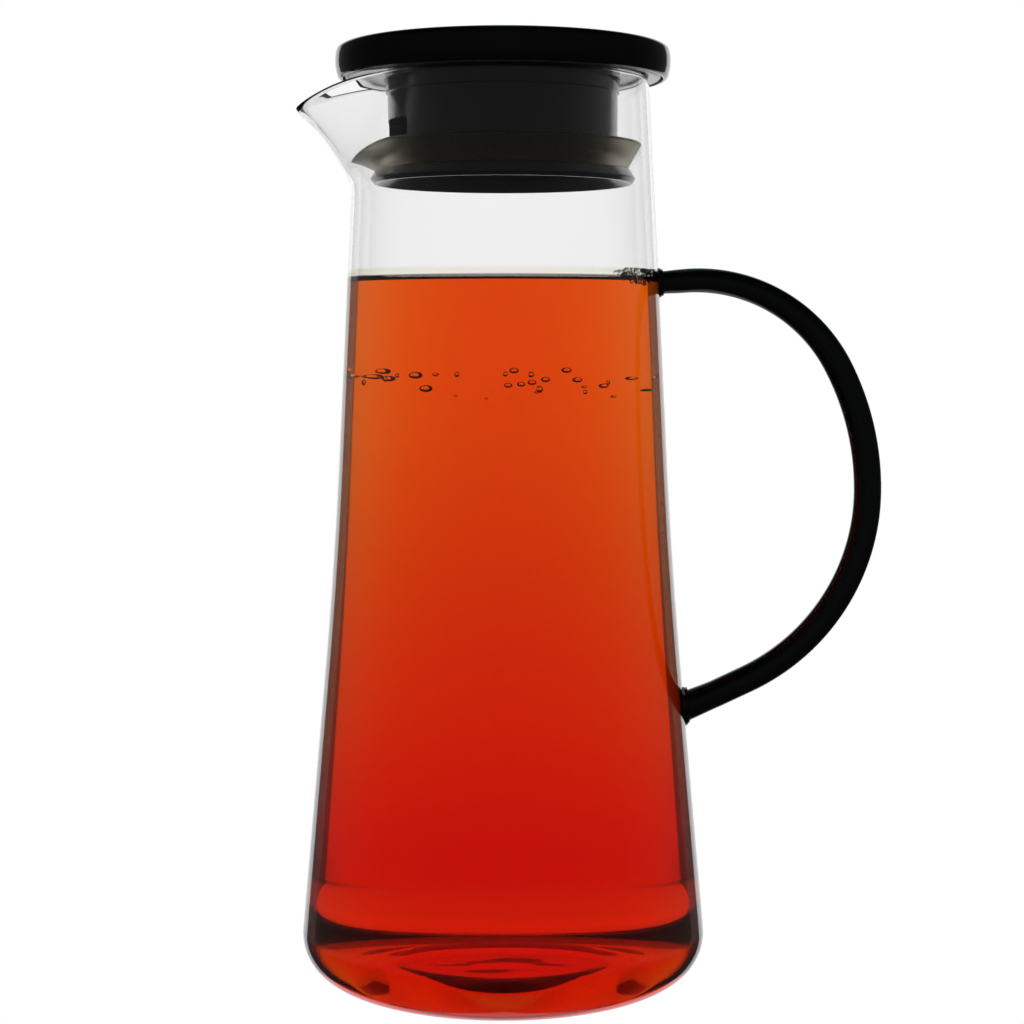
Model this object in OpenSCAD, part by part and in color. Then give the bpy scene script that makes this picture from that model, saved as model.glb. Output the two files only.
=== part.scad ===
// Glass jug for tea: a blown body with a pulled spout, a glass rod handle welded to its side,
// and a moulded lid whose stopper is held in the mouth by a soft lip seal.
// Millimetres. The body's axis is Z and it rests on Z = 0. The spout points to -X, the handle to +X.

/* [Glass body] */
// Height of the rim above the table
rim_h = 241; // [236:1:250]
// Outer radius at the rim
rim_r = 38.75; // [38:0.25:41]
// How far below the rim the side begins to draw in to the mouth
shoulder_drop = 47; // [41:1:53]
// Outer radius at the shoulder
shoulder_r = 41.3; // [40:0.1:43]
// Height of the waist, where the steep upper wall meets the spreading lower one
waist_h = 113; // [100:1:130]
// Outer radius at the waist
waist_r = 45.45; // [44.5:0.05:47]
// Outer radius of the wall carried straight down to the table
base_r = 55.75; // [54:0.25:58]
// Radius of the rounded corner between wall and base
corner_r = 12.3; // [10:0.1:15]
// Thickness of the wall
wall = 1.5; // [1.2:0.1:2]
// Thickness of the floor
floor_t = 2.6; // [2:0.1:5]
// Inner radius of the ring that the base rests on
foot_r = 31; // [27:0.5:34]
// How far the middle of the base is pushed up
punt_h = 3; // [1:0.25:6]

/* [Spout] */
// How far the lip reaches out past the rim
spout_reach = 16.4; // [12:0.1:20]
// How far the tip lies below the rim
spout_drop = 6.9; // [4:0.1:9]
// How far down the wall the spout begins
spout_depth = 33; // [28:1:38]
// Half of the angle that the spout takes out of the mouth
spout_half = 42; // [36:1:48]

/* [Handle] */
// Diameter of the glass rod
rod_d = 7.4; // [6.4:0.1:8.4]
// Diameter of the rod where it meets the upper weld
rod_top_d = 6; // [5.4:0.1:7]
// Diameter of the rod where it meets the lower weld
rod_foot_d = 8; // [7.4:0.1:9]
// How far below the rim the upper weld lies
top_joint_drop = 53.2; // [50:0.1:58]
// Distance from the upper weld down to the lower one
handle_h = 114.6; // [108:0.1:120]
// Distance from the upper weld down to the rod's outermost point
grip_drop = 56; // [50:0.5:60]
// Distance from the jug's axis to the rod where the hand holds it
grip_reach = 98.3; // [92:0.1:106]
// Thickness of the clear weld between wall and rod
weld_t = 1; // [0.6:0.1:1.6]

/* [Lid] */
// Height of the lid above the glass
lid_t = 8.4; // [7.8:0.1:12]
// Widest radius of the lid's cover
cover_r = 44.75; // [43.5:0.25:47]
// Thickness of the cover's top
cover_t = 2.4; // [1.6:0.2:3]
// Thickness of the cover's skirt
skirt_t = 2.3; // [1.8:0.1:2.8]
// Thickness of the stopper's plate
plate_t = 2.2; // [1.6:0.2:3]
// Gap between the stopper's neck and the glass, where the drink runs out
pour_gap = 6.75; // [6:0.25:8]
// How deep the stopper reaches below the rim
stopper_depth = 27.2; // [26:0.2:32]
// Thickness of the stopper's wall behind the seal
neck_t = 2; // [1.4:0.1:2.4]
// Height of the collar under the plate
collar_h = 3.9; // [2:0.1:6]
// Half of the angle that the pour window takes out of the neck
window_half = 20; // [14:1:30]
// How far the lid is turned from the spout, in degrees
window_turn = 17; // [0:1:180]
// How far the pour window's top edge lies below the rim
window_drop = 10.8; // [9:0.2:12]

/* [Seal and tea] */
// How far the seal's lip lies below the rim
seal_drop = 16.4; // [15:0.1:17]
// Thickness of the seal's lip
lip_t = 1.1; // [0.8:0.1:1.4]
// Depth of the groove that holds the seal
groove_d = 0.7; // [0.4:0.1:1]
// How far the tea's surface lies below the rim
fill_drop = 50; // [40:1:120]

/* [Clearances] */
// Gap between the lid and the rim
lid_gap = 0.3; // [0.2:0.1:1]
// Gap between the seal's lip and the narrowest part of the glass
seal_gap = 0.3; // [0.2:0.05:0.6]
// Running gap between the stopper and the seal that it turns in
running_gap = 0.05; // [0.02:0.01:0.1]
// Gap between the cover's skirt and the stopper's plate
snap_gap = 0.1; // [0.05:0.05:0.3]

/* [Hidden] */
$fn = 96;

// Heights that follow the rim
shoulder_h = rim_h - shoulder_drop;
top_joint_h = rim_h - top_joint_drop;
foot_joint_h = top_joint_h - handle_h;
grip_h = top_joint_h - grip_drop;
fill_h = rim_h - fill_drop;

// Angle in degrees that one flat of a rounded outline may turn through
arc_step = 8;
// Radii that ease the body's outline where its slope changes
waist_ease = 1200;
shoulder_ease = 900;
punt_ease = 10;
// Rounding of the rim's two edges, just under half of the wall
rim_round = wall * 0.45;
mouth_r = rim_r - wall;
// Flat middle of the punt
punt_flat_r = foot_r - 9;

// How sharply the spout narrows to its tip, in degrees: a small angle gives a pointed lip
tip_soft = 6;
// How strongly the spout swells from the wall to its lip, and how strongly the lip dips
swell_power = 1.65;
dip_power = 1.6;
// The spout's surfaces start a little inside the wall, so that they leave it at an angle
spout_sink = 0.7;
lip_step = 0.15;
spout_low = rim_h - spout_depth;
spout_back_r = mouth_r - 6;
spout_rows = 9;
spout_columns = 26;
// The throat's face runs on past the lip by this factor before it turns straight up
lip_overshoot = 1.04;
clear_above = 8;

// Headings along the rod, in degrees from +X: it leaves the upper weld a little upwards,
// changes its bend on the way to the grip, and comes back to the wall on a straight run
lead_up = 5;
bend_change = -62;
grip_down = -90;
foot_run = -154.7;
// Straight run out of the upper weld, and the swelling above the lower one
lead_l = 5.7;
foot_l = 8.4;
// Diameter of the rod at the end of that first run
rod_lead_d = rod_top_d + 0.3 * (rod_d - rod_top_d);
// Sides of the swept rod, and the degrees of bend between its rings
rod_sides = 20;
rod_step = 6;
// The rod is built into the wall by this much before its seat is cut
overrun = 6;
weld_lip = 0.6;

lid_z = rim_h + lid_gap;
lid_top = lid_z + lid_t;
cover_top_r = cover_r - 0.85;
plate_r = cover_r - skirt_t - snap_gap;
plate_rim_t = 2;
neck_r = mouth_r - pour_gap;
collar_r = neck_r + 0.6;
groove_r = neck_r - groove_d;
bore_r = groove_r - neck_t;
stopper_low = rim_h - stopper_depth;
// The flange under the seal: its shoulder, its widest edge and the thin edge that it ends in
flange_h = 3.7;
flange_edge_h = 1.2;
flange_r = neck_r + 4.8;
flange_low_r = flange_r - 0.9;
flange_edge_t = 0.8;
shoulder_z = stopper_low + flange_h;
window_round = 1.5;
window_top = rim_h - window_drop;

seal_r = mouth_r - seal_gap;
seal_top = rim_h - seal_drop;
seal_base_r = neck_r + 2.6;
seal_base_h = 3.4;
groove_h = seal_base_h + 2 * running_gap;

function unit(v) = v / norm(v);
function mix(a, b, t) = a + (b - a) * t;

// Points of the arc that rounds corner b, between its neighbours a and c
function rounding(a, b, c, radius) =
    let (u = unit(a - b),
         v = unit(c - b),
         half = acos(u * v) / 2,
         centre = b + unit(u + v) * radius / sin(half),
         p = b + u * radius / tan(half) - centre,
         q = b + v * radius / tan(half) - centre,
         from = atan2(p.y, p.x),
         swing = atan2(q.y, q.x) - from,
         turn = swing > 180 ? swing - 360 : swing < -180 ? swing + 360 : swing,
         steps = max(4, ceil(abs(turn) / arc_step)))
    [for (i = [0:steps]) centre + radius * [cos(from + turn * i / steps), sin(from + turn * i / steps)]];

function flat(p) = [p[0], p[1]];
function is_sharp(path, i) = i == 0 || i == len(path) - 1 || path[i][2] == 0;

// An outline from points [radius, height, rounding]
function rounded(path) =
    [for (i = [0:len(path) - 1])
        each (is_sharp(path, i)
            ? [flat(path[i])]
            : rounding(flat(path[i - 1]), flat(path[i]), flat(path[i + 1]), path[i][2]))];

// Outer radius of the wall at height z
function wall_r(z) =
    z < waist_h ? mix(base_r, waist_r, z / waist_h)
    : z < shoulder_h ? mix(waist_r, shoulder_r, (z - waist_h) / (shoulder_h - waist_h))
    : mix(shoulder_r, rim_r, (z - shoulder_h) / (rim_h - shoulder_h));

// The outside of the glass, with its side moved out by proud
function outside_path(proud = 0) = [
    [0, punt_h, 0],
    [punt_flat_r, punt_h, punt_ease],
    [foot_r, 0, punt_ease],
    [base_r + proud, 0, corner_r + proud],
    [waist_r + proud, waist_h, waist_ease],
    [shoulder_r + proud, shoulder_h, shoulder_ease],
    [rim_r + proud, rim_h, rim_round],
    [0, rim_h, 0]];

// The inside of the glass, up to the rounded edge of the mouth
function inside_path() = [
    [0, punt_h + floor_t, 0],
    [punt_flat_r, punt_h + floor_t, punt_ease],
    [foot_r, floor_t, punt_ease],
    [wall_r(floor_t) - wall, floor_t, corner_r - wall],
    [waist_r - wall, waist_h, waist_ease],
    [shoulder_r - wall, shoulder_h, shoulder_ease],
    [mouth_r, rim_h, rim_round],
    [mouth_r + rim_round, rim_h, 0],
    [mouth_r + rim_round, rim_h + clear_above, 0],
    [0, rim_h + clear_above, 0]];

module outside(proud = 0) {
    rotate_extrude() polygon(rounded(outside_path(proud)));
}

module cavity() {
    rotate_extrude() polygon(rounded(inside_path()));
}

// How much of the spout's full reach the lip has at angle a from its middle
function spout_share(a) =
    let (soft = sqrt(a * a + tip_soft * tip_soft) - tip_soft,
         full = sqrt(spout_half * spout_half + tip_soft * tip_soft) - tip_soft)
    pow(1 - soft / full, 2);

function lip_z(a) = rim_h - lip_step - (spout_drop - lip_step) * pow(spout_share(a), dip_power);

// A point at radius r, angle a from the spout's middle and height z
function on_ray(r, a, z) = [-r * cos(a), r * sin(a), z];

// One upright slice of the spout's solid: its face is inset from the spout's outside, and
// above the lip it goes straight up by over
function spout_slice(a, inset, over) =
    let (lip = lip_z(a),
         face = [for (j = [0:spout_rows])
             let (t = j / spout_rows * (over > 0 ? lip_overshoot : 1),
                  z = mix(spout_low, lip, t),
                  swell = pow(t, swell_power) * spout_share(a))
             [wall_r(z) - inset - spout_sink + (spout_reach + spout_sink) * swell, z]],
         top_r = face[spout_rows][0])
    concat([on_ray(spout_back_r, a, spout_low)],
           [for (p = face) on_ray(p[0], a, p[1])],
           over > 0 ? [on_ray(top_r, a, rim_h + over)] : [],
           [on_ray(spout_back_r, a, over > 0 ? rim_h + over : lip)]);

// Slices stand closer together near the tip, where the lip turns most
function slice_angle(i) = let (u = 2 * i / spout_columns - 1) spout_half * u * pow(abs(u), 0.35);

// A solid through slices that have the same number of points
module loft(slices) {
    count = len(slices[0]);
    last = len(slices) - 1;
    sides = [for (i = [0:last - 1]) for (k = [0:count - 1])
        let (a = i * count + k,
             b = i * count + (k + 1) % count,
             c = b + count,
             d = a + count)
        each [[a, d, c], [a, c, b]]];
    ends = [[for (k = [0:count - 1]) k], [for (k = [count - 1:-1:0]) last * count + k]];
    polyhedron([for (s = slices) each s], concat(sides, ends));
}

module spout_solid(inset, over) {
    loft([for (i = [0:spout_columns]) spout_slice(slice_angle(i), inset, over)]);
}

// The rod's centre line lies in the XZ plane, as points [x, z]
function heading(angle) = [cos(angle), sin(angle)];
// Where an arc of radius 1 ends that turns clockwise from one heading to another
function arc_end(from, to) = [sin(from) - sin(to), cos(to) - cos(from)];
// Shares s and t of the vectors a and b that add up to c
function shares(a, b, c) =
    [c.x * b.y - c.y * b.x, a.x * c.y - a.y * c.x] / (a.x * b.y - a.y * b.x);

top_seat = [wall_r(top_joint_h) + weld_t, top_joint_h];
foot_seat = [wall_r(foot_joint_h) + weld_t, foot_joint_h];
arch_start = top_seat + lead_l * heading(lead_up);
grip = [grip_reach, grip_h];
// Radii of the two bends above the grip, then the bend below it and the straight run
arch = shares(arc_end(lead_up, bend_change), arc_end(bend_change, grip_down), grip - arch_start);
tail = shares(arc_end(grip_down, foot_run), heading(foot_run), foot_seat - grip);
arch_middle = arch_start + arch[0] * arc_end(lead_up, bend_change);
tail_start = grip + tail[0] * arc_end(grip_down, foot_run);
foot_start = foot_seat - foot_l * heading(foot_run);

module along(point, angle) {
    translate([point.x, 0, point.y]) rotate([0, 90 - angle, 0]) children();
}

// A ring of points round the rod's centre line, square to its heading
function rod_ring(point, angle, d) =
    [for (k = [0:rod_sides - 1])
        let (side = d / 2 * cos(360 * k / rod_sides),
             up = d / 2 * sin(360 * k / rod_sides))
        [point.x - up * sin(angle), side, point.y + up * cos(angle)]];

// The rings along one bend, with the rod's diameter going from d1 to d2
function bend_rings(start, from, to, radius, d1, d2) =
    let (steps = ceil(abs(to - from) / rod_step))
    [for (i = [0:steps - 1])
        let (angle = mix(from, to, i / steps))
        rod_ring(start + radius * arc_end(from, angle), angle, mix(d1, d2, i / steps))];

// Clear glass that joins the rod's end to the wall, rooted in the middle of the wall
module weld(seat, angle, end_d) {
    difference() {
        intersection() {
            along(seat, angle)
                translate([0, 0, -overrun]) cylinder(d = end_d + 2 * weld_lip, h = 2 * overrun);
            outside(weld_t);
        }
        outside(-wall / 2);
    }
}

module glass_body() {
    color([0.86, 0.93, 0.93, 0.35]) {
        difference() {
            union() {
                outside();
                spout_solid(0, 0);
            }
            cavity();
            spout_solid(wall, clear_above);
        }
        weld(top_seat, lead_up, rod_top_d);
        weld(foot_seat, foot_run, rod_foot_d);
    }
}

// A solid rod in one sweep: thin at the upper weld, full by the grip, swollen at the lower weld
module handle() {
    rings = concat(
        [rod_ring(top_seat - overrun * heading(lead_up), lead_up, rod_top_d),
         rod_ring(top_seat, lead_up, rod_top_d)],
        bend_rings(arch_start, lead_up, bend_change, arch[0], rod_lead_d, rod_d),
        bend_rings(arch_middle, bend_change, grip_down, arch[1], rod_d, rod_d),
        bend_rings(grip, grip_down, foot_run, tail[0], rod_d, rod_d),
        [rod_ring(tail_start, foot_run, rod_d),
         rod_ring(foot_start, foot_run, rod_d),
         rod_ring(foot_seat, foot_run, rod_foot_d),
         rod_ring(foot_seat + overrun * heading(foot_run), foot_run, rod_foot_d)]);
    color([0.06, 0.06, 0.07])
        difference() {
            loft(rings);
            outside(weld_t);
        }
}

module tea() {
    color([0.85, 0.27, 0.02])
        intersection() {
            cavity();
            cylinder(r = base_r, h = fill_h);
        }
}

// A cap with a slightly tapered side, a soft lower edge and a skirt that closes round the plate
module lid_cover() {
    skirt_r = cover_r - skirt_t;
    side = [
        [0, lid_t, 0],
        [cover_top_r, lid_t, 1.5],
        [cover_r + 0.15, lid_t / 2, 10],
        [cover_r - 1.2, 0, 1.3],
        [skirt_r, 0, 0],
        [skirt_r, lid_t - cover_t, 0],
        [0, lid_t - cover_t, 0]];
    color([0.05, 0.05, 0.055])
        translate([0, 0, lid_z])
            rotate_extrude() polygon(rounded(side));
}

// A rounded rectangle that stands on the origin, made of true arcs
module window_shape(width, height) {
    translate([-width / 2 + window_round, 0]) square([width - 2 * window_round, height]);
    translate([-width / 2, window_round]) square([width, height - 2 * window_round]);
    for (x = [-1, 1], y = [window_round, height - window_round])
        translate([x * (width / 2 - window_round), y]) circle(window_round);
}

// The opening in the neck above the seal, near the side of the spout
module pour_window() {
    low = shoulder_z + groove_h + 0.8;
    rotate([0, 0, window_turn])
        translate([0, 0, low])
            rotate([90, 0, -90])
                linear_extrude(height = collar_r + 1)
                    window_shape(2 * neck_r * sin(window_half), window_top - low);
}

// A hollow stopper in one moulding: plate with an upturned edge, collar, neck, groove and flange
module stopper() {
    section = [
        [0, lid_z + plate_t, 0],
        [plate_r - plate_rim_t, lid_z + plate_t, 0],
        [plate_r - plate_rim_t, lid_top - cover_t, 0],
        [plate_r, lid_top - cover_t, 0],
        [plate_r, lid_z, 1.6],
        [collar_r, lid_z, 0.5],
        [collar_r - 0.2, lid_z - collar_h, 0],
        [neck_r, lid_z - collar_h, 0],
        [neck_r, shoulder_z + groove_h, 0],
        [groove_r, shoulder_z + groove_h, 0],
        [groove_r, shoulder_z, 0],
        [flange_r - 1.5, shoulder_z, 0],
        [flange_r, stopper_low + flange_edge_h, 0.3],
        [flange_low_r, stopper_low, 0],
        [flange_low_r - flange_edge_t, stopper_low, 0],
        [bore_r, shoulder_z, 2],
        [bore_r, lid_z, 1],
        [0, lid_z, 0]];
    color([0.13, 0.13, 0.14])
        difference() {
            rotate_extrude() polygon(rounded(section));
            pour_window();
        }
}

// A soft ring with a foot that sits in the groove and a lip that leans out to the glass
module seal_ring() {
    foot_z = shoulder_z + running_gap;
    section = [
        [groove_r + running_gap, foot_z, 0],
        [seal_base_r, foot_z, 0.8],
        [seal_r, seal_top - 0.6, 0.5],
        [seal_r - lip_t, seal_top, 0.4],
        [seal_base_r - lip_t, foot_z + seal_base_h, 1.5],
        [groove_r + running_gap, foot_z + seal_base_h, 0]];
    color([0.78, 0.73, 0.66])
        rotate_extrude() polygon(rounded(section));
}

glass_body();
handle();
tea();
lid_cover();
stopper();
seal_ring();
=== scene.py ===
# Looks of the glass jug: blown glass, tea, rod handle and lid, lit from behind by a white studio.
# Lengths are millimetres in the outlines and metres in Blender, and angles are degrees. The spout
# points to -X and the handle to +X. The points of an outline are (radius, height, rounding).

import random
from math import atan2, cos, degrees, hypot, pi, radians, sin, tan

import bmesh
import bpy
from mathutils import Matrix, Vector, noise

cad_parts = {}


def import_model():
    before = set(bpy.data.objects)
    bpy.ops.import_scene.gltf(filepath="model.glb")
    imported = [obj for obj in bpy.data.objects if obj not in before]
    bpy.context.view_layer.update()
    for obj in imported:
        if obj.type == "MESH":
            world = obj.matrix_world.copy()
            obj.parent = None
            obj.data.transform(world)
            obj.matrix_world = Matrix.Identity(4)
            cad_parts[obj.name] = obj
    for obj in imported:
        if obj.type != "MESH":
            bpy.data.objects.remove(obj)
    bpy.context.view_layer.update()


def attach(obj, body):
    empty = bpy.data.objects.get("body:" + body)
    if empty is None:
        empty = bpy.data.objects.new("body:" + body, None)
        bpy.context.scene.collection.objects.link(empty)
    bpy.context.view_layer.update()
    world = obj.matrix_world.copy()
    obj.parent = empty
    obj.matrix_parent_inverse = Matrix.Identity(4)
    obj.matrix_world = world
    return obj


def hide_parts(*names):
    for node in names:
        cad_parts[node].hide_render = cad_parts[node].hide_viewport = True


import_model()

MM = 0.001

# Fineness of the meshes: pieces of a full turn, and the longest edges in the glass and in the tea
TURN_STEPS = 256
GLASS_STEP = 2.5
TEA_STEP = 4

# Glass body, as in the part
RIM_H = 241
RIM_R = 38.75
SHOULDER_H = 194
SHOULDER_R = 41.3
WAIST_H = 113
WAIST_R = 45.45
BASE_R = 55.75
CORNER_R = 12.3
WALL = 1.5
MOUTH_R = RIM_R - WALL
FLOOR_T = 2.6
FOOT_R = 31
PUNT_H = 3
PUNT_FLAT_R = FOOT_R - 9
WAIST_EASE = 1200
SHOULDER_EASE = 900
PUNT_EASE = 10
RIM_ROUND = WALL * 0.49

# Underside of the base: a nearly flat hollow with a ring round it
HOLLOW_H = 2.1
HOLLOW_R = PUNT_FLAT_R - 1
HOLLOW_EDGE_H = 1.8
RING_R = PUNT_FLAT_R + 3
RING_H = 0.7

# Waves in the middle of the hollow: their height, the half sizes of their patch in millimetres,
# their features per metre, and which stretch of the noise they are cut from
PONTIL_WAVE = 1
PONTIL_HALF_X = 18
PONTIL_HALF_Y = 10
PONTIL_SCALE_X = 90
PONTIL_SCALE_Y = 150
PONTIL_CUT = 3

# Spout: how far it reaches and dips, where it starts, and half its width and the rounding of its
# tip in degrees
SPOUT_REACH = 16.4
SPOUT_DROP = 6.9
SPOUT_LOW = RIM_H - 33
SPOUT_HALF = 42
TIP_SOFT = 6
# How late it swells upwards and dips sideways, and the soft dent that it starts with
SWELL_POWER = 1.65
DIP_POWER = 1.6
SPOUT_SINK = 0.7
SPOUT_BLEND = 0.8
# The bead on the outside of its lip: its thickness, its height below the rim, how sharply it ends
# at the rim, and how much of the wall counts as the outside
LIP_BEAD = 0.9
LIP_BEAD_H = 2.2
LIP_BEAD_FADE = 0.02
OUTER_SKIN = WALL * 0.6

# Handle: the rod's diameters, its joints with the wall and the farthest point of its grip
ROD_D = 7.4
ROD_TOP_D = 6
ROD_FOOT_D = 8
TOP_JOINT_H = RIM_H - 53.2
FOOT_JOINT_H = TOP_JOINT_H - 114.6
GRIP_REACH = 98.3
GRIP_H = TOP_JOINT_H - 56
# Headings of its centre line, from the upper joint to the lower one, and its straight ends
LEAD_UP = 5
BEND_CHANGE = -62
GRIP_DOWN = -90
FOOT_RUN = -154.7
LEAD_L = 5.7
LEAD_SWELL = 0.3
FOOT_L = 8.4
# How deep its centre line and its end faces go into the wall, and the fineness of its mesh
ROD_IN = 0.5
ROD_END_IN = 0.3
ROD_SIDES = 48
END_STEPS = 8
TAIL_STEPS = 6
BEND_STEP = 2
SEAT_ROUNDS = 6

# Welds of the handle: their thickness in the part, how far they stand out round the rod at the wall
# and at their outer end, how deep they go into the wall and how far they stand out from it, and
# the middle and the depth of the plain collar that is then fitted to the wall
WELD_T = 1
WELD_WIDE = 1.3
WELD_NARROW = 0.5
WELD_IN = 0.5
WELD_OUT = 1.3
WELD_MIDDLE = 0.6
WELD_DEPTH = 1.6

# Lid cover
LID_Z = RIM_H + 0.3
LID_T = 8.4
COVER_R = 44.75
COVER_T = 2.4
COVER_TOP_IN = 0.85
COVER_BULGE = 0.15
COVER_FOOT_IN = 1.2
SKIRT_T = 2.3
SNAP_GAP = 0.1

# Stopper
PLATE_T = 2.2
PLATE_R = COVER_R - SKIRT_T - SNAP_GAP
PLATE_RIM_T = 2
NECK_R = MOUTH_R - 6.75
COLLAR_H = 3.9
COLLAR_R = NECK_R + 0.6
COLLAR_TAPER = 0.2
GROOVE_R = NECK_R - 0.7
BORE_R = GROOVE_R - 2
STOPPER_LOW = RIM_H - 27.2
SHOULDER_Z = STOPPER_LOW + 3.7
GROOVE_H = 3.5
FLANGE_R = NECK_R + 4.8
FLANGE_SLOPE = 1.5
FLANGE_EDGE_H = 1.2
FLANGE_LOW_R = FLANGE_R - 0.9
FLANGE_LIP_T = 0.8
WINDOW_TOP = RIM_H - 10.8
WINDOW_SILL = 0.8
WINDOW_HALF = 20
WINDOW_TURN = 17
WINDOW_ROUND = 1.5

# Seal, and how its lip relaxes into the spout: outwards, downwards and how late along the lip
SEAL_GAP = 0.05
SEAL_R = MOUTH_R - 0.3
SEAL_TOP = RIM_H - 16.4
SEAL_EDGE_H = 0.6
SEAL_BASE_R = NECK_R + 2.6
SEAL_BASE_H = 3.4
LIP_T = 1.1
RELAX_OUT = 2.6
RELAX_DOWN = 4.4
RELAX_POWER = 1.3

# Tea: its surface, its raised edge at the wall, and the wet film above that
TEA_TOP = 187.7
TEA_OVERLAP = 0.4
TEA_EDGE_H = 1.3
TEA_EDGE_MIDDLE_H = 0.455
TEA_EDGE_MIDDLE_IN = 0.7
TEA_EDGE_FOOT_IN = 2.2
FILM_TOP = 191
FILM_T = 0.12

# Bubbles on the inside of the glass, as (degrees towards the handle, height, size), counted from
# straight behind the jug in the first list and from straight in front in the second one
BUBBLE_GAP = 0.1
BACK_BUBBLES = [
    (-27.1, 161.3, 1.5), (-25.9, 162.8, 1.6), (-24.9, 160.8, 1.6), (-19.7, 161.8, 2),
    (-17.4, 158.1, 2), (-15.1, 162.0, 1), (-10.6, 156.1, 0.6), (-3.9, 155.3, 0.6), (0.9, 159.0, 1.4),
    (2.2, 163.1, 1.6), (3.8, 159.3, 1.4), (6.2, 159.8, 1.5), (7.1, 157.1, 0.8), (9.2, 160.6, 1.5),
    (13.9, 163.2, 1.6), (16.2, 160.5, 1.5), (17.4, 158.6, 0.8), (21.6, 158.8, 1.3), (23.2, 155.8, 0.7),
    (26.3, 160.8, 1), (28.2, 157.4, 1)]
FRONT_BUBBLES = [
    (-75, 163, 1.6), (-72, 161, 1.3), (-69, 162.5, 1), (-59, 161.5, 1.6), (-46, 162.6, 1.5),
    (-40, 163.5, 1.2), (-16, 163.9, 1.4), (1, 164, 1.3), (10, 163.9, 1.6), (13, 160.2, 1.8),
    (30, 159.4, 1.2), (40, 161.7, 1.2)]

# Foam: where it runs round the wall, its bubbles' sizes, and how far they heap inwards, down and up
FOAM_SEED = 4
FOAM_COUNT = 110
FOAM_FROM = -41
FOAM_SPAN = 35
FOAM_STRAY = 2
FOAM_SMALLEST = 0.9
FOAM_LARGEST = 1.7
FOAM_INWARD = 3
FOAM_H = 1.5
FOAM_DOWN = 2
FOAM_UP = 1.7
FOAM_BULK_FROM = 0.12
FOAM_BULK_SPAN = 0.78

# Angles past which an edge stays crisp
CRISP_PLASTIC = 35
CRISP_TEA = 32
CRISP_SEAL = 40

# Colour of a sheet of tea, and how strongly it soaks up light per metre
TEA_SOAK_COLOUR = (0.977, 0.66, 0.10, 1)
TEA_SOAK = 100
# Painted shade in the tea: its tint darkens and reddens downwards, standing in for the wall's shading
# towards the table, with a lighter strip at the very bottom as painted light. Shares of the height up to
# the top of its film, and tints
TEA_PAINTED_SHADE = [
    (0, (1, 1, 0.6)), (0.045, (1, 0.95, 0.5)), (0.08, (0.95, 0.15, 0.1)), (0.12, (0.92, 0.09, 0.05)),
    (0.173, (0.95, 0.12, 0.05)), (0.265, (0.97, 0.22, 0.08)), (0.351, (1, 0.42, 0.1)),
    (0.43, (1, 0.5, 0.15)), (0.6, (1, 0.79, 0.3)), (0.764, (1, 1, 0.6)), (1, (1, 1, 1))]

# The room, as shares and tones. Round: from straight in front (0) by the left, straight behind
# the jug (0.5) and by the right. Up: the sine of the elevation, from -1 at 0 to 1 at 1.
# What is seen through the glass and the tea:
THROUGH_ROUND = [
    (0, 0.07), (0.12, 0.08), (0.2, 0.1), (0.25, 0.16), (0.33, 0.24), (0.3795, 0.28), (0.3805, 1),
    (0.6195, 1), (0.6205, 0.28), (0.67, 0.24), (0.75, 0.16), (0.8, 0.1), (0.88, 0.08), (1, 0.07)]
THROUGH_UP = [
    (0, 0.03), (0.31, 0.05), (0.335, 0.86), (0.42, 0.88), (0.45, 0.93), (0.4775, 1), (0.87, 1), (1, 0.5)]
# What glossy surfaces mirror:
MIRRORED_ROUND = [
    (0, 0.05), (0.18, 0.04), (0.27, 0.03), (0.34, 0.04), (0.395, 0.07), (0.419, 0.09), (0.421, 1),
    (0.579, 1), (0.581, 0.07), (0.65, 0.04), (0.73, 0.03), (0.82, 0.04), (1, 0.05)]
MIRRORED_UP = [
    (0, (0.6, 0.55, 0.62)), (0.3, (0.75, 0.7, 0.76)), (0.4, 0.95), (0.45, 1), (0.7, 1),
    (0.85, (0.12, 0.24, 0.2)), (1, (0.08, 0.16, 0.13))]
# What dull surfaces are lit by:
SOFT_ROUND = [(0, 0.5), (0.25, 0.5), (0.33, 0.9), (0.5, 1), (0.67, 0.9), (0.75, 0.5), (1, 0.5)]
WHITE = (1, 1, 1, 1)

# Camera, in metres, with its lens in millimetres
CAMERA_AT = (0.0024, -0.5841, 0.1720)
CAMERA_DOWN = 4.479
LENS = 76.3
SENSOR_W = 36
NEAREST_SEEN = 0.01


def new_object(name, bm, body, node=None):
    """Turns a bmesh into an object that rides on a body and may stand for a CAD node."""
    mesh = bpy.data.meshes.new(name)
    bm.to_mesh(mesh)
    bm.free()
    mesh.shade_smooth()
    piece = bpy.data.objects.new(name, mesh)
    bpy.context.collection.objects.link(piece)
    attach(piece, body)
    if node:
        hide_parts(node)
    return piece


def outline(bm, path, arc_step):
    """Draws a line through the points of a path and rounds its corners."""
    corners = [bm.verts.new((r * MM, 0, z * MM)) for r, z, _ in path]
    for a, b in zip(corners, corners[1:]):
        bm.edges.new((a, b))
    inner_corners = list(zip(corners, path))[1:-1]
    for i, (corner, (_, _, radius)) in enumerate(inner_corners, start=1):
        if radius == 0:
            continue
        before = Vector(path[i - 1][:2]) - Vector(path[i][:2])
        after = Vector(path[i + 1][:2]) - Vector(path[i][:2])
        half = before.angle(after) / 2
        turn = 180 - degrees(2 * half)
        bmesh.ops.bevel(
            bm, geom=[corner], offset=radius * MM / tan(half), offset_type="OFFSET",
            segments=max(3, round(turn / arc_step)), profile=0.5, affect="VERTICES", material=-1)


def finer(bm, longest):
    """Cuts every edge that is longer than this many millimetres into equal pieces."""
    for edge in list(bm.edges):
        cuts = int(edge.calc_length() / (longest * MM))
        if cuts > 0:
            bmesh.ops.subdivide_edges(bm, edges=[edge], cuts=cuts)


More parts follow.
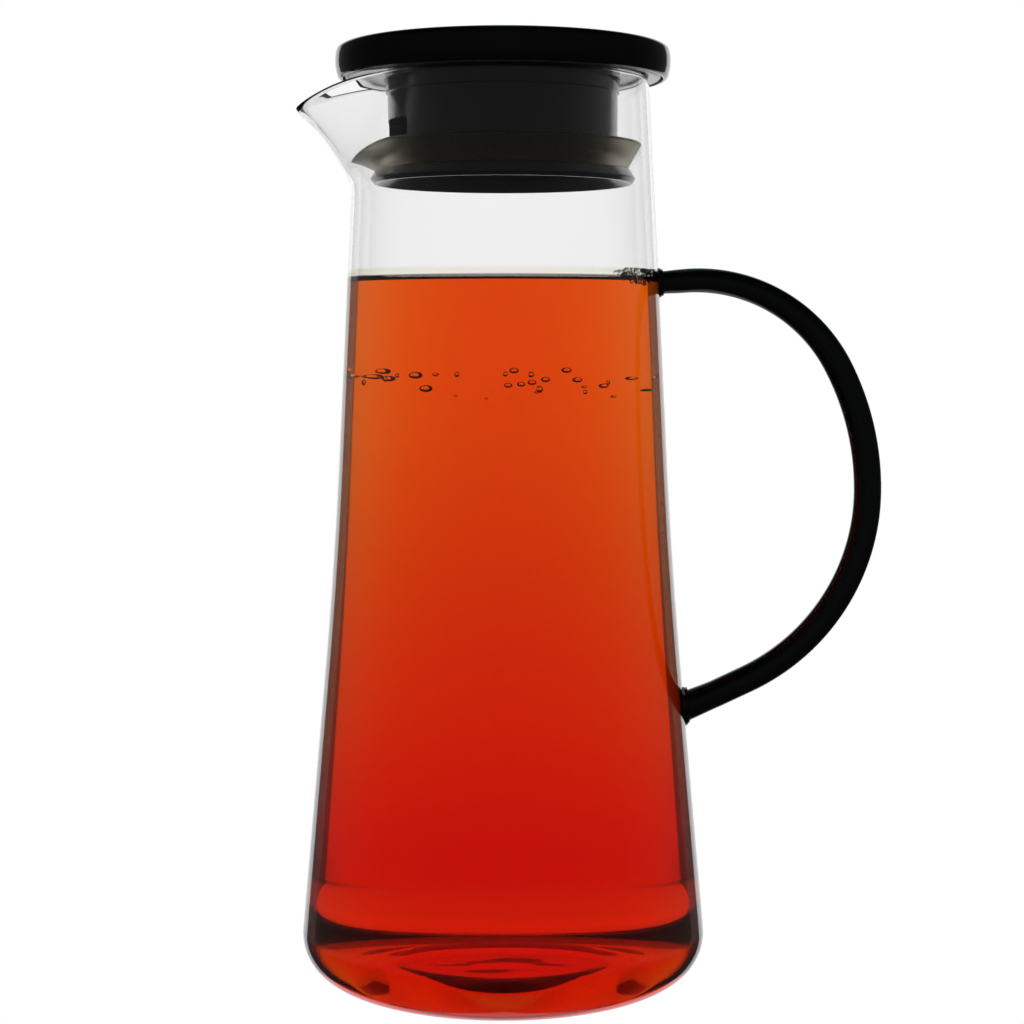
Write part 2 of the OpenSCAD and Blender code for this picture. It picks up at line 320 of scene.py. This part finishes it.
def turned(path, arc_step=4, longest=None):
    """Spins an outline round Z into a closed skin."""
    bm = bmesh.new()
    outline(bm, path, arc_step)
    if longest:
        finer(bm, longest)
    bmesh.ops.spin(
        bm, geom=bm.verts[:] + bm.edges[:], cent=(0, 0, 0), axis=(0, 0, 1), dvec=(0, 0, 0),
        angle=2 * pi, steps=TURN_STEPS, use_merge=True)
    bmesh.ops.remove_doubles(bm, verts=bm.verts[:], dist=1e-6)
    bmesh.ops.recalc_face_normals(bm, faces=bm.faces[:])
    return bm


def mix(a, b, t):
    """The number a share t of the way from a to b."""
    return a + (b - a) * t


def at(r, angle, z):
    """The move to a radius, an angle from the handle's side and a height."""
    a = radians(angle)
    return Matrix.Translation((r * cos(a) * MM, r * sin(a) * MM, z * MM))


# Glass body

def wall_r(z):
    """Radius of the outside of the wall at height z, where it isn't pulled into the spout."""
    if z < WAIST_H:
        return mix(BASE_R, WAIST_R, z / WAIST_H)
    if z < SHOULDER_H:
        return mix(WAIST_R, SHOULDER_R, (z - WAIST_H) / (SHOULDER_H - WAIST_H))
    return mix(SHOULDER_R, RIM_R, (z - SHOULDER_H) / (RIM_H - SHOULDER_H))


def tea_wall_r(z):
    """Radius of the inside of the wall at height z, above the bottom corner."""
    return wall_r(z) - WALL


def spout_share(a):
    """How much of the spout's reach the lip has, a degrees from its middle."""
    if abs(a) >= SPOUT_HALF:
        return 0
    soft = hypot(a, TIP_SOFT) - TIP_SOFT
    full = hypot(SPOUT_HALF, TIP_SOFT) - TIP_SOFT
    return (1 - soft / full) ** 2


def bead_share(z, t):
    """How much of its thickness the lip's bead has at height z, a share t of the way up the spout."""
    below = (RIM_H - z) / LIP_BEAD_H
    if not 0 < below < 2:
        return 0
    return below * (2 - below) * (1 - t) / (1 - t + LIP_BEAD_FADE)


def pull_spout(bm):
    """Pulls the wall out and the rim down into a pouring lip, as the glass maker does."""
    for vert in bm.verts:
        z = vert.co.z / MM
        a = degrees(atan2(vert.co.y, -vert.co.x))
        share = spout_share(a)
        if z <= SPOUT_LOW or share == 0:
            continue
        r = hypot(vert.co.x, vert.co.y) / MM
        t = (z - SPOUT_LOW) / (RIM_H - SPOUT_LOW)
        lip = RIM_H - SPOUT_DROP * share ** DIP_POWER
        new_z = mix(SPOUT_LOW, lip, t)
        push = (SPOUT_REACH + SPOUT_SINK) * t ** SWELL_POWER * share - SPOUT_SINK
        push = (push + hypot(push, SPOUT_BLEND) + SPOUT_SINK - hypot(SPOUT_SINK, SPOUT_BLEND)) / 2
        if r > wall_r(z) - OUTER_SKIN:
            push += LIP_BEAD * share * bead_share(z, t)
        r += wall_r(new_z) - wall_r(z) + push
        vert.co = (-r * cos(radians(a)) * MM, r * sin(radians(a)) * MM, new_z * MM)


def wave_hollow(bm):
    """Makes the middle of the underside uneven, where the maker's rod was broken off."""
    for vert in bm.verts:
        x = vert.co.x / MM
        y = vert.co.y / MM
        inside = vert.co.z / MM > HOLLOW_H + FLOOR_T / 2
        if inside or hypot(x, y) >= PUNT_FLAT_R:
            continue
        wave = noise.noise(
            Vector((vert.co.x * PONTIL_SCALE_X, vert.co.y * PONTIL_SCALE_Y, PONTIL_CUT)))
        fade = max(0, 1 - hypot(x / PONTIL_HALF_X, y / PONTIL_HALF_Y))
        vert.co.z += PONTIL_WAVE * wave * fade * MM


def to_wall(verts, angle, depth):
    """Moves points along a heading until they lie a given depth inside the outer wall."""
    along = Vector((cos(radians(angle)), 0, sin(radians(angle)))) * MM
    for vert in verts:
        for _ in range(SEAT_ROUNDS):
            vert.co += along * (hypot(vert.co.x, vert.co.y) / MM - wall_r(vert.co.z / MM) + depth)


def weld(bm, seat_h, angle, rod_d):
    """A clear collar round the end of the rod, fused to the wall. The angle points at the wall."""
    out = Vector((-cos(radians(angle)), 0, -sin(radians(angle))))
    middle = Vector((wall_r(seat_h), 0, seat_h)) + out * WELD_MIDDLE
    turn = Matrix.Rotation(radians(270 - angle), 4, "Y")
    made = bmesh.ops.create_cone(
        bm, cap_ends=True, segments=ROD_SIDES, radius1=(rod_d / 2 + WELD_WIDE) * MM,
        radius2=(rod_d / 2 + WELD_NARROW) * MM, depth=WELD_DEPTH * MM,
        matrix=Matrix.Translation(middle * MM) @ turn)
    for vert in made["verts"]:
        at_glass = (vert.co / MM - middle).dot(out) < 0
        to_wall([vert], angle, WELD_IN if at_glass else -WELD_OUT)


def glass_body():
    """A skin up the outside, over the rim and down the inside, its spout, and the handle's welds."""
    bm = turned([
        (0, HOLLOW_H, 0),
        (HOLLOW_R, HOLLOW_EDGE_H, 3),
        (RING_R, RING_H, 2),
        (FOOT_R, 0, PUNT_EASE),
        (BASE_R, 0, CORNER_R),
        (WAIST_R, WAIST_H, WAIST_EASE),
        (SHOULDER_R, SHOULDER_H, SHOULDER_EASE),
        (RIM_R, RIM_H, RIM_ROUND),
        (MOUTH_R, RIM_H, RIM_ROUND),
        (SHOULDER_R - WALL, SHOULDER_H, SHOULDER_EASE),
        (WAIST_R - WALL, WAIST_H, WAIST_EASE),
        (tea_wall_r(FLOOR_T), FLOOR_T, CORNER_R - WALL),
        (FOOT_R, FLOOR_T, PUNT_EASE),
        (PUNT_FLAT_R, PUNT_H + FLOOR_T, PUNT_EASE),
        (0, PUNT_H + FLOOR_T, 0)], longest=GLASS_STEP)
    pull_spout(bm)
    wave_hollow(bm)
    weld(bm, TOP_JOINT_H, LEAD_UP + 180, ROD_TOP_D)
    weld(bm, FOOT_JOINT_H, FOOT_RUN, ROD_FOOT_D)
    return bm


# Tea, bubbles and foam

def bubble(bm, angle, z, size):
    """A hollow ball in the tea, just off the glass, with its faces pointing into the hollow."""
    place = at(tea_wall_r(z) - size / 2 - BUBBLE_GAP, angle, z)
    made = bmesh.ops.create_uvsphere(
        bm, u_segments=20, v_segments=12, radius=size / 2 * MM, matrix=place)
    faces = list({face for vert in made["verts"] for face in vert.link_faces})
    bmesh.ops.reverse_faces(bm, faces=faces)


def tea():
    """The drink, let into the glass a little so that no air shows between them. It climbs the wall
    a little at its surface, and it has bubbles, which are hollows in it."""
    wet_r = tea_wall_r(TEA_TOP)
    low = FLOOR_T - TEA_OVERLAP
    bm = turned([
        (0, PUNT_H + low, 0),
        (PUNT_FLAT_R, PUNT_H + low, PUNT_EASE),
        (FOOT_R, low, PUNT_EASE),
        (tea_wall_r(low) + TEA_OVERLAP, low, CORNER_R - WALL),
        (WAIST_R - WALL + TEA_OVERLAP, WAIST_H, WAIST_EASE),
        (wet_r + TEA_OVERLAP, FILM_TOP, 0),
        (wet_r - FILM_T, FILM_TOP, 0),
        (wet_r - FILM_T, TEA_TOP + TEA_EDGE_H, 0.3),
        (wet_r - TEA_EDGE_MIDDLE_IN, TEA_TOP + TEA_EDGE_MIDDLE_H, 1),
        (wet_r - TEA_EDGE_FOOT_IN, TEA_TOP, 3),
        (0, TEA_TOP, 0)], longest=TEA_STEP)
    for turn, z, size in BACK_BUBBLES:
        bubble(bm, 90 - turn, z, size)
    for turn, z, size in FRONT_BUBBLES:
        bubble(bm, turn - 90, z, size)
    return bm


def foam():
    """The heap of small bubbles on the tea by the handle."""
    chance = random.Random(FOAM_SEED)
    bm = bmesh.new()
    for i in range(FOAM_COUNT):
        share = i / (FOAM_COUNT - 1)
        angle = FOAM_FROM + FOAM_SPAN * share + chance.uniform(-FOAM_STRAY, FOAM_STRAY)
        size = chance.uniform(FOAM_SMALLEST, FOAM_LARGEST)
        bulk = sin(pi * (FOAM_BULK_FROM + FOAM_BULK_SPAN * share))
        r = tea_wall_r(TEA_TOP) - size / 2 - chance.uniform(0, FOAM_INWARD) * bulk
        z = TEA_TOP + FOAM_H + chance.uniform(-FOAM_DOWN, FOAM_UP) * bulk
        bmesh.ops.create_icosphere(bm, subdivisions=2, radius=size / 2 * MM, matrix=at(r, angle, z))
    return bm


# Handle

def heading(angle):
    """A step of length 1 at this angle above the level, outwards from the jug."""
    return Vector((cos(radians(angle)), sin(radians(angle))))


def arc_end(start, end):
    """Where an arc of radius 1 ends that turns clockwise from one heading to another."""
    a = radians(start)
    b = radians(end)
    return Vector((sin(a) - sin(b), cos(b) - cos(a)))


def shares(a, b, c):
    """Shares of the vectors a and b that add up to c."""
    cross = a.x * b.y - a.y * b.x
    return (c.x * b.y - c.y * b.x) / cross, (a.x * c.y - a.y * c.x) / cross


def rod_stations():
    """Places along the rod's centre line: point, heading and diameter."""
    top_seat = Vector((wall_r(TOP_JOINT_H), TOP_JOINT_H))
    foot_seat = Vector((wall_r(FOOT_JOINT_H), FOOT_JOINT_H))
    foot_out = foot_seat + Vector((WELD_T, 0))
    arch_start = top_seat + Vector((WELD_T, 0)) + LEAD_L * heading(LEAD_UP)
    grip = Vector((GRIP_REACH, GRIP_H))
    upper, middle = shares(
        arc_end(LEAD_UP, BEND_CHANGE), arc_end(BEND_CHANGE, GRIP_DOWN), grip - arch_start)
    lower, _ = shares(arc_end(GRIP_DOWN, FOOT_RUN), heading(FOOT_RUN), foot_out - grip)
    arch_middle = arch_start + upper * arc_end(LEAD_UP, BEND_CHANGE)
    tail_start = grip + lower * arc_end(GRIP_DOWN, FOOT_RUN)
    foot_start = foot_out - FOOT_L * heading(FOOT_RUN)
    foot_end = foot_seat + ROD_IN * heading(FOOT_RUN)
    lead_d = mix(ROD_TOP_D, ROD_D, LEAD_SWELL)
    stations = []

    def straight(start, end, angle, d1, d2, count):
        for i in range(count):
            t = i / count
            ease = t * t * (3 - 2 * t)
            stations.append((start.lerp(end, t), angle, mix(d1, d2, ease)))

    def bend(start, a1, a2, radius, d1, d2):
        count = round(abs(a2 - a1) / BEND_STEP)
        for i in range(count):
            angle = mix(a1, a2, i / count)
            stations.append((start + radius * arc_end(a1, angle), angle, mix(d1, d2, i / count)))

    straight(top_seat - ROD_IN * heading(LEAD_UP), arch_start, LEAD_UP, ROD_TOP_D, lead_d, END_STEPS)
    bend(arch_start, LEAD_UP, BEND_CHANGE, upper, lead_d, ROD_D)
    bend(arch_middle, BEND_CHANGE, GRIP_DOWN, middle, ROD_D, ROD_D)
    bend(grip, GRIP_DOWN, FOOT_RUN, lower, ROD_D, ROD_D)
    straight(tail_start, foot_start, FOOT_RUN, ROD_D, ROD_D, TAIL_STEPS)
    straight(foot_start, foot_end, FOOT_RUN, ROD_D, ROD_FOOT_D, END_STEPS)
    stations.append((foot_end, FOOT_RUN, ROD_FOOT_D))
    return stations


def handle():
    """Bridges rings along the rod's centre line, and closes both ends inside the wall."""
    bm = bmesh.new()
    rings = []
    for point, angle, d in rod_stations():
        place = (Matrix.Translation((point.x * MM, 0, point.y * MM))
                 @ Matrix.Rotation(radians(90 - angle), 4, "Y"))
        made = bmesh.ops.create_circle(
            bm, cap_ends=False, segments=ROD_SIDES, radius=d / 2 * MM, matrix=place)
        rings.append(list({edge for vert in made["verts"] for edge in vert.link_edges}))
    for ring, angle in ((rings[0], LEAD_UP + 180), (rings[-1], FOOT_RUN)):
        to_wall({vert for edge in ring for vert in edge.verts}, angle, ROD_END_IN)
    for one, other in zip(rings, rings[1:]):
        bmesh.ops.bridge_loops(bm, edges=one + other)
    bmesh.ops.holes_fill(bm, edges=rings[0] + rings[-1], sides=ROD_SIDES)
    bmesh.ops.recalc_face_normals(bm, faces=bm.faces[:])
    return bm


# Lid

def lid_cover():
    """The cap: a slightly bulging side, and a skirt that snaps over the stopper's plate."""
    top = LID_Z + LID_T
    skirt_r = COVER_R - SKIRT_T
    return turned([
        (0, top, 0),
        (COVER_R - COVER_TOP_IN, top, 1.5),
        (COVER_R + COVER_BULGE, LID_Z + LID_T / 2, 10),
        (COVER_R - COVER_FOOT_IN, LID_Z, 1.1),
        (skirt_r, LID_Z, 0.1),
        (skirt_r, top - COVER_T, 0),
        (0, top - COVER_T, 0)], arc_step=6)


def stopper():
    """One moulding, open below: plate, collar, neck, groove for the seal, and flange."""
    under_cover = LID_Z + LID_T - COVER_T
    return turned([
        (0, LID_Z + PLATE_T, 0),
        (PLATE_R - PLATE_RIM_T, LID_Z + PLATE_T, 0.3),
        (PLATE_R - PLATE_RIM_T, under_cover, 0),
        (PLATE_R, under_cover, 0),
        (PLATE_R, LID_Z, 1.6),
        (COLLAR_R, LID_Z, 0.5),
        (COLLAR_R - COLLAR_TAPER, LID_Z - COLLAR_H, 0.2),
        (NECK_R, LID_Z - COLLAR_H, 0.15),
        (NECK_R, SHOULDER_Z + GROOVE_H, 0),
        (GROOVE_R, SHOULDER_Z + GROOVE_H, 0),
        (GROOVE_R, SHOULDER_Z, 0),
        (FLANGE_R - FLANGE_SLOPE, SHOULDER_Z, 0.4),
        (FLANGE_R, STOPPER_LOW + FLANGE_EDGE_H, 0.3),
        (FLANGE_LOW_R, STOPPER_LOW, 0.3),
        (FLANGE_LOW_R - FLANGE_LIP_T, STOPPER_LOW, 0.3),
        (BORE_R, SHOULDER_Z, 2),
        (BORE_R, LID_Z, 1),
        (0, LID_Z, 0)], arc_step=8)


def window_cutter():
    """A block with rounded corners that cuts the pour window into the stopper's neck."""
    low = SHOULDER_Z + GROOVE_H + WINDOW_SILL
    length = COLLAR_R + 1
    width = 2 * NECK_R * sin(radians(WINDOW_HALF))
    height = WINDOW_TOP - low
    bm = bmesh.new()
    place = Matrix.Translation((-length / 2 * MM, 0, (low + height / 2) * MM))
    size = Matrix.Diagonal((length * MM, width * MM, height * MM, 1))
    bmesh.ops.create_cube(bm, size=1, matrix=place @ size)
    along = [e for e in bm.edges if abs(e.verts[0].co.x - e.verts[1].co.x) > length / 2 * MM]
    bmesh.ops.bevel(
        bm, geom=along, offset=WINDOW_ROUND * MM, offset_type="OFFSET", segments=6, profile=0.5,
        affect="EDGES", material=-1)
    turn = Matrix.Rotation(radians(WINDOW_TURN), 4, "Z")
    bmesh.ops.transform(bm, matrix=turn, verts=bm.verts[:])
    return bm


def cut_window(piece):
    """Cuts the pour window and keeps the result as the piece's own mesh."""
    mesh = bpy.data.meshes.new("window_cutter")
    bm = window_cutter()
    bm.to_mesh(mesh)
    bm.free()
    cutter = bpy.data.objects.new("window_cutter", mesh)
    bpy.context.collection.objects.link(cutter)
    cut = piece.modifiers.new("pour window", "BOOLEAN")
    cut.object = cutter
    cut.operation = "DIFFERENCE"
    cut.solver = "EXACT"
    done = bpy.data.meshes.new_from_object(
        piece.evaluated_get(bpy.context.evaluated_depsgraph_get()))
    piece.modifiers.clear()
    piece.data = done
    bpy.data.objects.remove(cutter)
    bpy.data.meshes.remove(mesh)


def seal_ring():
    """The soft ring: its lip is pressed by the glass, and relaxes out and down into the spout."""
    foot_r = GROOVE_R + SEAL_GAP
    foot_z = SHOULDER_Z + SEAL_GAP
    lip_root_r = SEAL_BASE_R - LIP_T
    bm = turned([
        (foot_r, foot_z, 0),
        (SEAL_BASE_R, foot_z, 0.8),
        (SEAL_R, SEAL_TOP - SEAL_EDGE_H, 0.5),
        (SEAL_R - LIP_T, SEAL_TOP, 0.4),
        (lip_root_r, foot_z + SEAL_BASE_H, 1.5),
        (foot_r, foot_z + SEAL_BASE_H, 0),
        (foot_r, foot_z, 0)], arc_step=8)
    for vert in bm.verts:
        r = hypot(vert.co.x, vert.co.y) / MM
        a = degrees(atan2(vert.co.y, -vert.co.x))
        if abs(a) >= SPOUT_HALF or r < lip_root_r:
            continue
        ease = (cos(pi * a / SPOUT_HALF) + 1) / 2
        relaxed = ((r - lip_root_r) / (SEAL_R - lip_root_r)) ** RELAX_POWER * ease
        wider = 1 + RELAX_OUT * relaxed / r
        vert.co.x *= wider
        vert.co.y *= wider
        vert.co.z -= RELAX_DOWN * relaxed * MM
    return bm


# Nodes

def fill(tree, node, inputs):
    """Gives a node's inputs a fixed value each, or another node's output."""
    for name, given in inputs.items():
        if isinstance(given, bpy.types.NodeSocket):
            tree.links.new(given, node.inputs[name])
        else:
            node.inputs[name].default_value = given


def new_node(tree, kind, inputs):
    """Adds a node with its inputs filled."""
    node = tree.nodes.new(kind)
    fill(tree, node, inputs)
    return node


def mixed(tree, way, factor, a, b):
    """Mixes two colours by a factor, or multiplies them."""
    node = tree.nodes.new("ShaderNodeMix")
    node.data_type = "RGBA"
    node.blend_type = way
    fill(tree, node, {"Factor": factor, "A": a, "B": b})
    return node.outputs["Result"]


def tones_along(tree, value, tones):
    """A ramp of greys or colours along a value from 0 to 1."""
    ramp = new_node(tree, "ShaderNodeValToRGB", {"Fac": value})
    elements = ramp.color_ramp.elements
    elements[1].position = tones[-1][0]
    for where, _ in tones[1:-1]:
        elements.new(where)
    for element, (_, tone) in zip(elements, tones):
        element.color = (*tone, 1) if isinstance(tone, tuple) else (tone, tone, tone, 1)
    return ramp.outputs["Color"]


# Materials

def material(name, looks):
    """A material with one Principled shader, and the looks that are the same all over it."""
    made = bpy.data.materials.new(name)
    made.use_nodes = True
    tree = made.node_tree
    tree.nodes.clear()
    shader = new_node(tree, "ShaderNodeBsdfPrincipled", looks)
    out = new_node(tree, "ShaderNodeOutputMaterial", {"Surface": shader.outputs["BSDF"]})
    return made, tree, shader, out


def uneven_surface():
    """A group: how the gloss of a moulded or blown surface varies, and its slight waves. Scales are
    in features per metre, and the wave height is in metres."""
    group = bpy.data.node_groups.new("uneven_surface", "ShaderNodeTree")
    for name, way, kind in (
            ("Patch Scale", "INPUT", "Float"), ("Smoothest", "INPUT", "Float"),
            ("Roughest", "INPUT", "Float"), ("Wave Scale", "INPUT", "Float"),
            ("Wave Strength", "INPUT", "Float"), ("Wave Height", "INPUT", "Float"),
            ("Roughness", "OUTPUT", "Float"), ("Normal", "OUTPUT", "Vector")):
        group.interface.new_socket(name=name, in_out=way, socket_type="NodeSocket" + kind)
    given = group.nodes.new("NodeGroupInput").outputs
    place = group.nodes.new("ShaderNodeTexCoord").outputs["Object"]
    patches = new_node(group, "ShaderNodeTexNoise", {
        "Vector": place, "Scale": given["Patch Scale"], "Detail": 3})
    gloss = new_node(group, "ShaderNodeMapRange", {
        "Value": patches.outputs["Fac"], "From Min": 0.3, "From Max": 0.7,
        "To Min": given["Smoothest"], "To Max": given["Roughest"]})
    waves = new_node(group, "ShaderNodeTexNoise", {
        "Vector": place, "Scale": given["Wave Scale"], "Detail": 1})
    relief = new_node(group, "ShaderNodeBump", {
        "Height": waves.outputs["Fac"], "Strength": given["Wave Strength"],
        "Distance": given["Wave Height"]})
    new_node(group, "NodeGroupOutput", {
        "Roughness": gloss.outputs["Result"], "Normal": relief.outputs["Normal"]})
    return group


def wear(tree, shader, puts_out, given):
    """Places the group in a material, and links what it puts out to the shader."""
    placed = tree.nodes.new("ShaderNodeGroup")
    placed.node_tree = UNEVEN
    fill(tree, placed, given)
    for name in puts_out:
        fill(tree, shader, {name: placed.outputs[name]})


def blown_glass():
    """Clear glass, smooth but slightly wavy."""
    made, tree, shader, _ = material("blown_glass", {
        "Base Color": WHITE, "Roughness": 0, "IOR": 1.5, "Transmission Weight": 1})
    wear(tree, shader, ["Normal"], {"Wave Scale": 25, "Wave Strength": 0.05, "Wave Height": 0.0005})
    return made


def tea_liquid():
    """Tea that soaks up light, with painted shade that tints it more strongly low down and a painted
    lighter strip at its very bottom.
    """
    made, tree, shader, out = material("tea_liquid", {
        "Roughness": 0, "IOR": 1.333, "Transmission Weight": 1})
    coords = tree.nodes.new("ShaderNodeTexCoord")
    parts = new_node(tree, "ShaderNodeSeparateXYZ", {"Vector": coords.outputs["Object"]})
    height = new_node(tree, "ShaderNodeMapRange", {
        "Value": parts.outputs["Z"], "From Max": FILM_TOP * MM})
    # Base Color by height is painted shade: darker and redder low down, lighter at the very bottom
    fill(tree, shader, {"Base Color": tones_along(tree, height.outputs["Result"], TEA_PAINTED_SHADE)})
    soak = new_node(tree, "ShaderNodeVolumeAbsorption", {
        "Color": TEA_SOAK_COLOUR, "Density": TEA_SOAK})
    fill(tree, out, {"Volume": soak.outputs["Volume"]})
    return made


def foam_film():
    """Walls of the foam's bubbles: so thin that they bend light only a little."""
    return material("foam_film", {
        "Base Color": (0.97, 0.93, 0.92, 1), "Roughness": 0, "IOR": 1.14, "Transmission Weight": 1})[0]


def dark_glass():
    """Nearly black glass, drawn into a rod with slight waves."""
    made, tree, shader, _ = material("dark_glass", {
        "Base Color": (0.004, 0.005, 0.006, 1), "IOR": 1.5})
    wear(tree, shader, ["Roughness", "Normal"], {
        "Patch Scale": 60, "Smoothest": 0.02, "Roughest": 0.06,
        "Wave Scale": 45, "Wave Strength": 0.15, "Wave Height": 0.0005})
    return made


def gloss_plastic():
    """Black plastic with a high gloss."""
    made, tree, shader, _ = material("gloss_plastic", {
        "Base Color": (0.004, 0.0035, 0.004, 1), "IOR": 1.5})
    wear(tree, shader, ["Roughness", "Normal"], {
        "Patch Scale": 90, "Smoothest": 0.06, "Roughest": 0.12,
        "Wave Scale": 700, "Wave Strength": 0.04, "Wave Height": 0.0002})
    return made


def smoky_plastic():
    """Dark satin plastic."""
    made, tree, shader, _ = material("smoky_plastic", {
        "Base Color": (0.045, 0.045, 0.05, 1), "IOR": 1.55})
    wear(tree, shader, ["Roughness", "Normal"], {
        "Patch Scale": 120, "Smoothest": 0.12, "Roughest": 0.2,
        "Wave Scale": 900, "Wave Strength": 0.05, "Wave Height": 0.0002})
    return made


def soft_seal():
    """Milky silicone that light from behind shines through."""
    made, tree, shader, _ = material("soft_seal", {
        "Base Color": (0.93, 0.86, 0.7, 1), "IOR": 1.2, "Transmission Weight": 0.95})
    wear(tree, shader, ["Roughness", "Normal"], {
        "Patch Scale": 150, "Smoothest": 0.28, "Roughest": 0.36,
        "Wave Scale": 500, "Wave Strength": 0.05, "Wave Height": 0.0003})
    return made


# Pieces

def dress(piece, look, crisp=None):
    """Puts a material on a piece, and keeps edges crisp that turn by more than this angle."""
    if crisp:
        piece.data.set_sharp_from_angle(angle=radians(crisp))
    piece.data.materials.append(look)


def build():
    """Makes each piece, names what it stands for and puts its material on."""
    body = new_object("blown_body", glass_body(), "jug", "glass_body")
    dress(body, blown_glass())
    drink = new_object("drink", tea(), "jug", "tea")
    dress(drink, tea_liquid(), CRISP_TEA)
    froth = new_object("froth", foam(), "jug")
    dress(froth, foam_film())
    rod = new_object("rod_handle", handle(), "jug", "handle")
    dress(rod, dark_glass())
    cover = new_object("cover", lid_cover(), "lid", "lid_cover")
    dress(cover, gloss_plastic(), CRISP_PLASTIC)
    plug = new_object("plug", stopper(), "lid", "stopper")
    cut_window(plug)
    dress(plug, smoky_plastic(), CRISP_PLASTIC)
    ring = new_object("lip_seal", seal_ring(), "seal", "seal_ring")
    dress(ring, soft_seal(), CRISP_SEAL)


# Studio

def world():
    """White all round for the camera. Glass and tea see a white wall behind the jug that shades off
    towards the table, with dim sides and a dark front. Gloss mirrors a narrower white wall, a pale
    table and a dark ceiling."""
    sky = bpy.data.worlds.new("studio")
    bpy.context.scene.world = sky
    sky.use_nodes = True
    tree = sky.node_tree
    tree.nodes.clear()
    coords = tree.nodes.new("ShaderNodeTexCoord")
    parts = new_node(tree, "ShaderNodeSeparateXYZ", {"Vector": coords.outputs["Generated"]}).outputs
    side = new_node(tree, "ShaderNodeMath", {0: parts["X"], 1: parts["Y"]})
    side.operation = "ARCTAN2"
    way_round = new_node(tree, "ShaderNodeMapRange", {
        "Value": side.outputs["Value"], "From Min": -pi, "From Max": pi})
    way_up = new_node(tree, "ShaderNodeMapRange", {"Value": parts["Z"], "From Min": -1})

    def room(tones_round, tones_up):
        across = tones_along(tree, way_round.outputs["Result"], tones_round)
        upwards = tones_along(tree, way_up.outputs["Result"], tones_up)
        return mixed(tree, "MULTIPLY", 1, across, upwards)

    rays = tree.nodes.new("ShaderNodeLightPath").outputs
    tone = mixed(tree, "MIX", rays["Is Transmission Ray"],
                 room(MIRRORED_ROUND, MIRRORED_UP), room(THROUGH_ROUND, THROUGH_UP))
    tone = mixed(tree, "MIX", rays["Is Diffuse Ray"], tone, room(SOFT_ROUND, MIRRORED_UP))
    tone = mixed(tree, "MIX", rays["Is Camera Ray"], tone, WHITE)
    light = new_node(tree, "ShaderNodeBackground", {"Color": tone})
    new_node(tree, "ShaderNodeOutputWorld", {"Surface": light.outputs["Background"]})


def camera():
    """In front of the jug and a little above its middle, tilted down."""
    lens = bpy.data.cameras.new("camera")
    lens.lens = LENS
    lens.sensor_width = SENSOR_W
    lens.clip_start = NEAREST_SEEN
    eye = bpy.data.objects.new("camera", lens)
    bpy.context.collection.objects.link(eye)
    eye.location = CAMERA_AT
    eye.rotation_euler = (radians(90 - CAMERA_DOWN), 0, 0)
    bpy.context.scene.camera = eye


UNEVEN = uneven_surface()
build()
world()
camera()
bpy.context.scene.view_settings.view_transform = "Standard"
